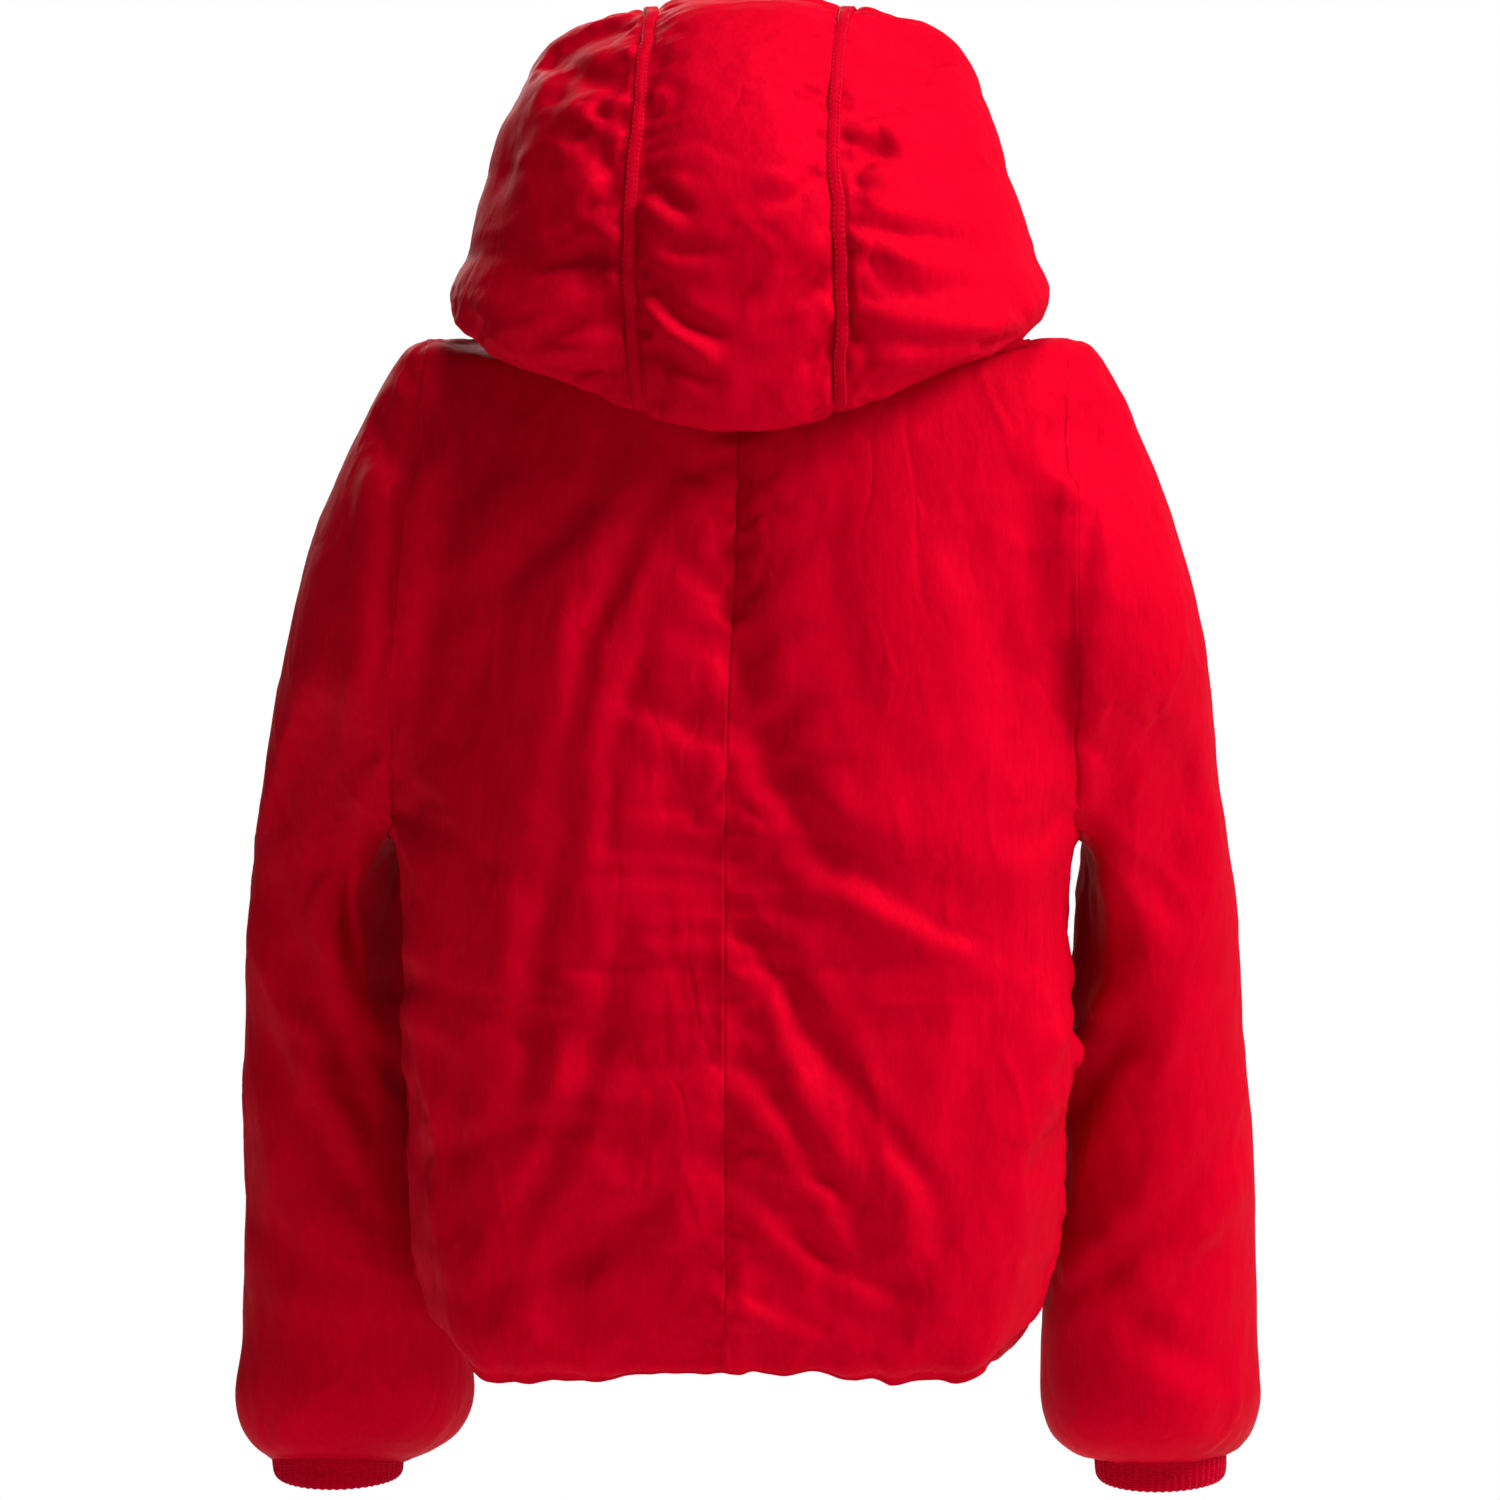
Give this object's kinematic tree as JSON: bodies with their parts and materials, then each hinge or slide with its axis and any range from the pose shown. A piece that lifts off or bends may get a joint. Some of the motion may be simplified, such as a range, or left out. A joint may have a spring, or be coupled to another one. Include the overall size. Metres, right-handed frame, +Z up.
{
  "type": "ski jacket",
  "caption": "Hooded padded ski jacket in worn shape, zipped, with hanging sleeves that lift, knitted cuffs, hand pockets and sliding zips.",
  "frame": {"origin": "middle of the neck opening, level with the back neck seam, where the jacket rests on its wearer's neck and shoulders", "axes": "+Z up; the front of the jacket faces -Y; +X is the wearer's left"},
  "size_m": [0.6148, 0.362, 0.8998],
  "materials": {
    "shell": "satin woven nylon, deep red",
    "lining": "smooth woven lining, red",
    "wadding": "white fibre wadding",
    "rib": "ribbed knit, red",
    "tape": "woven zip tape and strap, red",
    "teeth": "moulded zip teeth, red",
    "metal": "enamelled zip hardware, red",
    "elastic": "white woven elastic"
  },
  "bodies": {
    "jacket": {"back_lining": "lining", "back_shell_left": "shell", "back_shell_right": "shell", "back_wadding_left": "wadding", "back_wadding_right": "wadding", "collar_lining": "lining", "collar_shell": "shell", "collar_wadding": "wadding", "front_lining_left": "lining", "front_lining_right": "lining", "front_shell_left": "shell", "front_shell_right": "shell", "front_wadding_left": "wadding", "front_wadding_right": "wadding", "hanger_loop": "tape", "hem_elastic": "elastic", "hem_turn": "shell", "hood_binding": "shell", "hood_lining": "lining", "hood_seam_tape_left": "shell", "hood_seam_tape_right": "shell", "hood_shell_centre": "shell", "hood_shell_left": "shell", "hood_shell_right": "shell", "hood_wadding_centre": "wadding", "hood_wadding_left": "wadding", "hood_wadding_right": "wadding", "pocket_bag_left": "lining", "pocket_bag_right": "lining", "pocket_zip_left_back": "tape", "pocket_zip_left_front": "tape", "pocket_zip_right_back": "tape", "pocket_zip_right_front": "tape", "zip_box": "metal", "zip_flap": "shell", "zip_pin": "metal", "zip_tape_left": "tape", "zip_tape_right": "tape", "zip_teeth_left": "teeth", "zip_teeth_right": "teeth", "zip_top_stop_left": "metal", "zip_top_stop_right": "metal"},
    "sleeve_left": {"sleeve_left_shell": "shell", "sleeve_left_wadding": "wadding", "sleeve_left_lining": "lining", "cuff_left": "rib"},
    "pocket_slider_left": {"pocket_slider_left": "metal"},
    "pocket_pull_left": {"pocket_pull_left": "metal"},
    "sleeve_right": {"sleeve_right_shell": "shell", "sleeve_right_wadding": "wadding", "sleeve_right_lining": "lining", "cuff_right": "rib"},
    "pocket_slider_right": {"pocket_slider_right": "metal"},
    "pocket_pull_right": {"pocket_pull_right": "metal"},
    "main_slider": {"zip_slider": "metal"},
    "main_pull": {"zip_pull": "metal"}
  },
  "joints": [
    {"name": "sleeve_left_lift", "type": "hinge", "parent": "jacket", "child": "sleeve_left", "pos_m": [0.19, 0, -0.018], "axis": [0, -1, 0], "range_deg": [0, 45]},
    {"name": "sleeve_right_lift", "type": "hinge", "parent": "jacket", "child": "sleeve_right", "pos_m": [-0.19, 0, -0.018], "axis": [0, 1, 0], "range_deg": [0, 45]},
    {"name": "main_zip", "type": "slide", "parent": "jacket", "child": "main_slider", "axis": [0, -0.0492, -0.9988], "range_m": [0, 0.615]},
    {"name": "main_pull_swing", "type": "hinge", "parent": "main_slider", "child": "main_pull", "pos_m": [0, -0.10589, -0.00783], "axis": [-1, 0, 0], "range_deg": [0, 170]},
    {"name": "pocket_zip_left", "type": "slide", "parent": "jacket", "child": "pocket_slider_left", "axis": [-0.012, -0.0361, -0.9993], "range_m": [0, 0.137]},
    {"name": "pocket_pull_left_swing", "type": "hinge", "parent": "pocket_slider_left", "child": "pocket_pull_left", "pos_m": [0.1445, -0.08123, -0.42299], "axis": [-0.7542, -0.6558, 0.0327], "range_deg": [0, 170]},
    {"name": "pocket_zip_right", "type": "slide", "parent": "jacket", "child": "pocket_slider_right", "axis": [0.012, -0.0361, -0.9993], "range_m": [0, 0.137]},
    {"name": "pocket_pull_right_swing", "type": "hinge", "parent": "pocket_slider_right", "child": "pocket_pull_right", "pos_m": [-0.1445, -0.08123, -0.42299], "axis": [-0.7542, 0.6558, -0.0327], "range_deg": [0, 170]}
  ]
}
